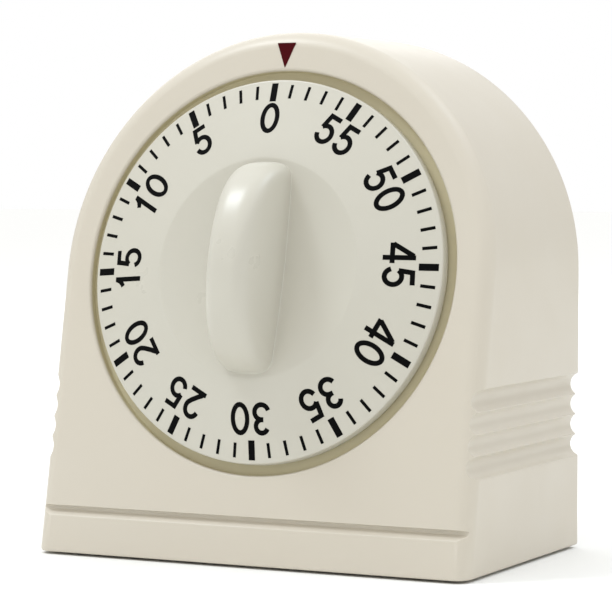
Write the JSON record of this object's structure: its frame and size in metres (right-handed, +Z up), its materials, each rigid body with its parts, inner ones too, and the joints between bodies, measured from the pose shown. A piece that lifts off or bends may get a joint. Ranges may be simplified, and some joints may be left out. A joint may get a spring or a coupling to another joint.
{
  "type": "kitchen timer",
  "caption": "Arched wind-up kitchen timer with a 60-minute rotating dial and fin grip, ribbed sides, rear cover, clockwork movement and bell.",
  "frame": {"origin": "on the worktop, under the middle of the timer's whole box (its knob included)", "axes": "+Z up, the dial faces -Y and leans back 10.8 degrees, +X to the right seen from the front"},
  "size_m": [0.0892, 0.0622, 0.0987],
  "materials": {
    "case_abs": "warm off-white moulded ABS, satin",
    "dial_abs": "off-white moulded ABS, satin, black printed scale",
    "pointer_red": "maroon marking",
    "foot_rubber": "matt",
    "brass": "stamped and tumbled",
    "steel": "turned and stamped",
    "zinc_screw": "bright zinc plated",
    "spring_steel": "blued",
    "bell_nickel": "nickel plated"
  },
  "bodies": {
    "case": {"housing": "case_abs", "rear_cover": "case_abs", "pointer_mark": "pointer_red", "foot_1": "foot_rubber", "foot_2": "foot_rubber", "foot_3": "foot_rubber", "foot_4": "foot_rubber", "cover_screw_1": "zinc_screw", "cover_screw_2": "zinc_screw", "cover_screw_3": "zinc_screw", "cover_screw_4": "zinc_screw", "movement_screw_1": "zinc_screw", "movement_screw_2": "zinc_screw", "movement_screw_3": "zinc_screw", "bell_nut": "zinc_screw", "front_plate": "brass", "rear_plate": "brass", "pillar_1": "brass", "pillar_2": "brass", "pillar_3": "brass", "pillar_4": "brass", "pillar_nut_1": "brass", "pillar_nut_2": "brass", "pillar_nut_3": "brass", "pillar_nut_4": "brass", "hairspring_stud": "brass", "detent_stud": "steel", "hammer_stud": "steel", "bell_post": "steel", "mainspring": "spring_steel", "hairspring": "spring_steel", "bell": "bell_nickel"},
    "dial": {"dial_knob": "dial_abs", "winding_shaft": "steel", "shaft_clip": "zinc_screw", "ratchet_wheel": "steel", "great_wheel": "brass", "strike_cam": "brass"},
    "ratchet_click": {"click": "steel"},
    "second_wheel": {"second_arbor": "steel", "second_wheel": "brass", "strike_star": "steel"},
    "third_wheel": {"third_arbor": "steel", "third_wheel": "brass"},
    "escape_wheel": {"escape_arbor": "steel", "escape_wheel": "brass"},
    "pallet": {"pallet_arbor": "steel", "pallet_lever": "steel"},
    "balance": {"balance_staff": "steel", "balance_wheel": "brass"},
    "detent": {"detent_lever": "steel"},
    "hammer": {"hammer": "steel", "hammer_head": "brass"}
  },
  "joints": [
    {"name": "dial_turn", "type": "hinge", "parent": "case", "child": "dial", "pos_m": [0, -0.01336, 0.0541], "axis": [0, 0.9823, -0.1874], "range_deg": [0, 354], "deforming": ["mainspring"]},
    {"name": "click_lift", "type": "hinge", "parent": "dial", "child": "ratchet_click", "pos_m": [0, -0.0113, 0.06491], "axis": [0, -0.9823, 0.1874], "range_deg": [0, 8], "stiffness_Nm_per_rad": 0.00002, "springref_deg": -5.73},
    {"name": "second_wheel_turn", "type": "hinge", "parent": "case", "child": "second_wheel", "pos_m": [0.01379, -0.01553, 0.04273], "axis": [0, 0.9823, -0.1874], "range_deg": [-2832, 0]},
    {"name": "third_wheel_turn", "type": "hinge", "parent": "case", "child": "third_wheel", "pos_m": [-0.00008, -0.01674, 0.03638], "axis": [0, 0.9823, -0.1874], "range_deg": [0, 21240]},
    {"name": "escape_wheel_turn", "type": "hinge", "parent": "case", "child": "escape_wheel", "pos_m": [-0.01268, -0.01633, 0.03857], "axis": [0, 0.9823, -0.1874], "range_deg": [-148680, 0]},
    {"name": "pallet_rock", "type": "hinge", "parent": "case", "child": "pallet", "pos_m": [-0.01978, -0.01556, 0.04259], "axis": [0, -0.9823, 0.1874], "range_deg": [-6, 6]},
    {"name": "balance_swing", "type": "hinge", "parent": "case", "child": "balance", "pos_m": [-0.02458, -0.014, 0.05076], "axis": [0, -0.9823, 0.1874], "range_deg": [-120, 120], "stiffness_Nm_per_rad": 0.00001, "deforming": ["hairspring"]},
    {"name": "detent_drop", "type": "hinge", "parent": "case", "child": "detent", "pos_m": [0.013, -0.01175, 0.06255], "axis": [0, -0.9823, 0.1874], "range_deg": [0, 5], "stiffness_Nm_per_rad": 0.0002, "springref_deg": -5.73},
    {"name": "hammer_swing", "type": "hinge", "parent": "case", "child": "hammer", "pos_m": [0.01, -0.01261, 0.05803], "axis": [0, -0.9823, 0.1874], "range_deg": [-6, 6], "stiffness_Nm_per_rad": 0.002}
  ],
  "couplings": [
    {"joint": "second_wheel_turn", "follows": "dial_turn", "ratio": -8},
    {"joint": "third_wheel_turn", "follows": "dial_turn", "ratio": 60},
    {"joint": "escape_wheel_turn", "follows": "dial_turn", "ratio": -420}
  ]
}
